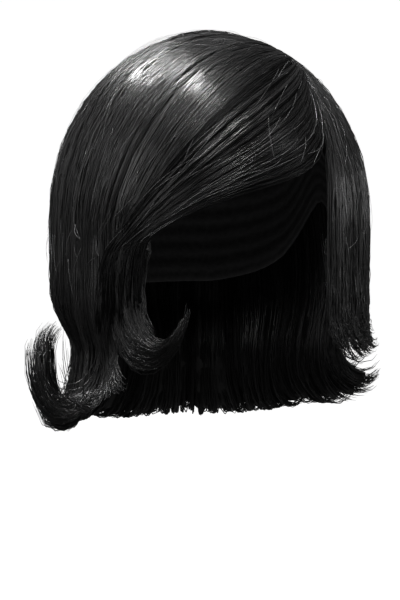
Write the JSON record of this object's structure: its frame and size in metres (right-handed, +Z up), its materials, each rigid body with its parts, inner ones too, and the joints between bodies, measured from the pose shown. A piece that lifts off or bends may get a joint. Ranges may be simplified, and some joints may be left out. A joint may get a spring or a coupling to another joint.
{
  "type": "medium-length wig",
  "caption": "Medium-length black wig with a side parting, a swept fringe and ends flipped outwards, on a thin stretch cap that fits over the head.",
  "frame": {"origin": "point inside the cap where the top of the head bears, on the head's upright axis", "axes": "+Z up, -Y the way the face looks, +X the wearer's left"},
  "size_m": [0.2353, 0.2499, 0.2582],
  "materials": {
    "hair": "smooth, glossy synthetic fibre",
    "cap_net": "matt stretch net"
  },
  "bodies": {
    "root": {"wig_cap": "cap_net", "right_hair": "hair", "back_hair": "hair", "left_hair": "hair", "nape_hair": "hair", "fringe": "hair"}
  },
  "joints": []
}
